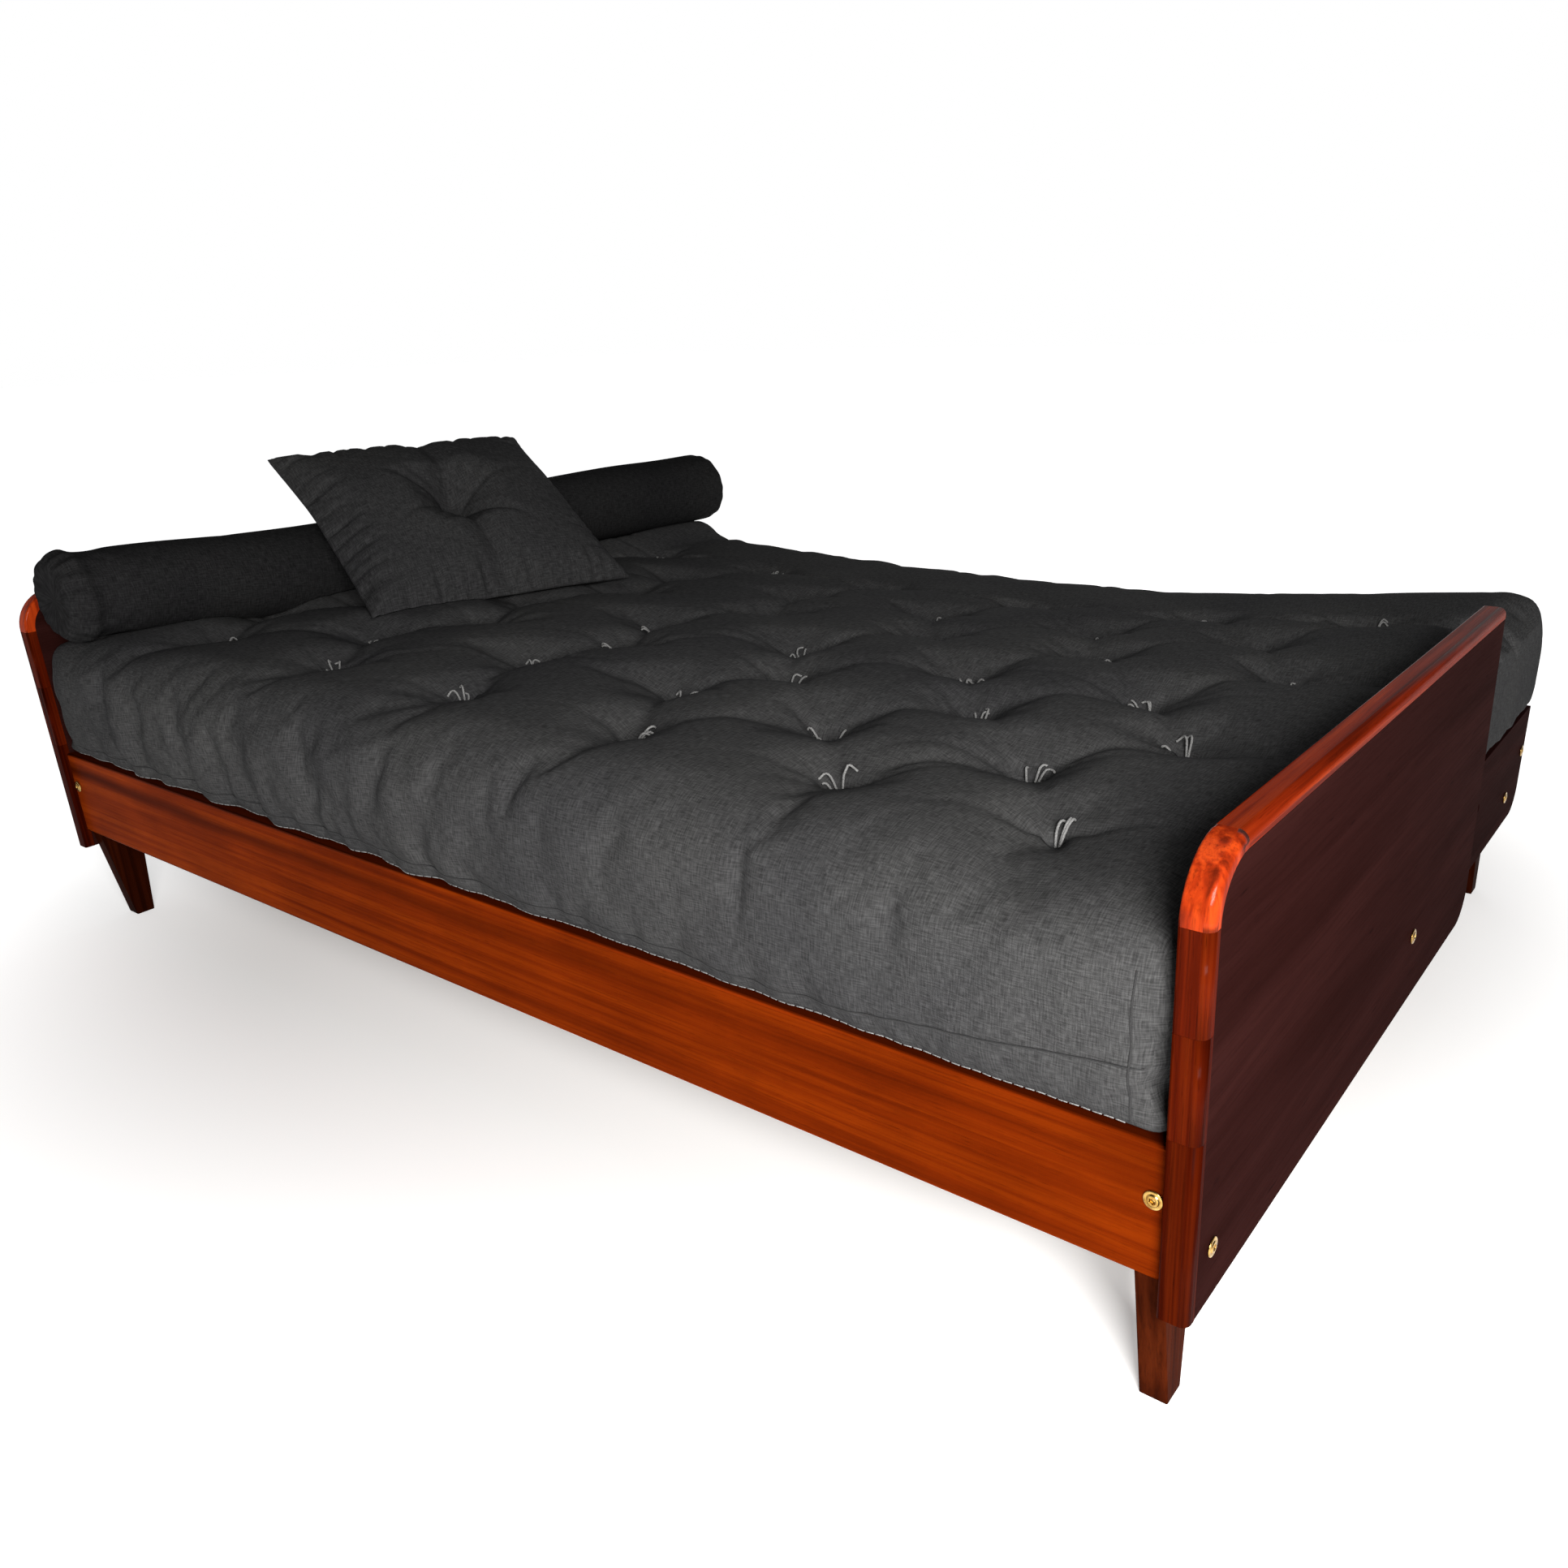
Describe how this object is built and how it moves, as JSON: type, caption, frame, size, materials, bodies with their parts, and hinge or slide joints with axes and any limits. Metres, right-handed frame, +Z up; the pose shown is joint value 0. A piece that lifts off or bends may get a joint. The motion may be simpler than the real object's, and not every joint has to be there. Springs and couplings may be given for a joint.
{
  "type": "daybed",
  "caption": "Daybed with a rear half that slides out on slats to make a double bed, with tufted futon mattress, bolster and scatter cushion.",
  "frame": {"origin": "on the floor, at the middle of the bed's length and of its depth with the rear half pulled out", "axes": "+X to the foot end, +Y to the pull-out rear, +Z up"},
  "size_m": [1.9618, 1.41, 0.7242],
  "materials": {
    "rail_wood": "gloss lacquered red-brown hardwood with long straight grain",
    "lipping_wood": "gloss lacquered orange-red solid hardwood edge",
    "panel_veneer": "satin lacquered dark red-brown veneer",
    "leg_wood": "satin lacquered dark hardwood",
    "slat_wood": "plain sanded softwood",
    "brass_fitting": "polished brass bolt heads with a hexagon socket",
    "mattress_cover": "charcoal woven cotton with a fine slub",
    "cushion_cover": "charcoal canvas weave, slightly coarser than the mattress"
  },
  "bodies": {
    "main_frame": {"head_panel_board": "panel_veneer", "head_top_lipping": "lipping_wood", "head_corner_lipping": "lipping_wood", "head_front_lipping_upper": "lipping_wood", "head_front_lipping_middle": "lipping_wood", "head_front_lipping_lower": "lipping_wood", "head_front_leg": "leg_wood", "head_leg_bolt": "brass_fitting", "head_guide_bolt": "brass_fitting", "head_guide_sleeve": "brass_fitting", "head_rail_bolt": "brass_fitting", "foot_panel_board": "panel_veneer", "foot_top_lipping": "lipping_wood", "foot_corner_lipping": "lipping_wood", "foot_front_lipping_upper": "lipping_wood", "foot_front_lipping_middle": "lipping_wood", "foot_front_lipping_lower": "lipping_wood", "foot_front_leg": "leg_wood", "foot_leg_bolt": "brass_fitting", "foot_guide_bolt": "brass_fitting", "foot_guide_sleeve": "brass_fitting", "foot_rail_bolt": "brass_fitting", "front_rail": "rail_wood", "front_ledger": "slat_wood", "centre_cross_rail": "slat_wood", "fixed_slat_1": "slat_wood", "fixed_slat_2": "slat_wood", "fixed_slat_3": "slat_wood", "fixed_slat_4": "slat_wood", "fixed_slat_5": "slat_wood", "fixed_slat_6": "slat_wood", "fixed_slat_7": "slat_wood", "fixed_slat_8": "slat_wood"},
    "pullout_frame": {"head_pullout_side": "panel_veneer", "head_rear_leg": "leg_wood", "head_rear_leg_bolt": "brass_fitting", "head_rear_rail_bolt": "brass_fitting", "foot_pullout_side": "panel_veneer", "foot_rear_leg": "leg_wood", "foot_rear_leg_bolt": "brass_fitting", "foot_rear_rail_bolt": "brass_fitting", "rear_rail": "slat_wood", "rear_ledger": "slat_wood", "pullout_front_rail": "slat_wood", "pullout_slat_1": "slat_wood", "pullout_slat_2": "slat_wood", "pullout_slat_3": "slat_wood", "pullout_slat_4": "slat_wood", "pullout_slat_5": "slat_wood", "pullout_slat_6": "slat_wood", "pullout_slat_7": "slat_wood"},
    "mattress": {"mattress": "mattress_cover"},
    "bolster": {"bolster": "cushion_cover"},
    "cushion": {"cushion": "cushion_cover"}
  },
  "joints": [
    {"name": "pullout_slide", "type": "slide", "parent": "main_frame", "child": "pullout_frame", "axis": [0, -1, 0], "range_m": [0, 0.46]},
    {"name": "mattress_lift", "type": "slide", "parent": "main_frame", "child": "mattress", "axis": [0, 0, 1], "range_m": [0, 0.3]},
    {"name": "bolster_lift", "type": "slide", "parent": "mattress", "child": "bolster", "axis": [0, 0, 1], "range_m": [0, 0.3]},
    {"name": "cushion_lift", "type": "slide", "parent": "bolster", "child": "cushion", "axis": [0, 0, 1], "range_m": [0, 0.3]}
  ]
}
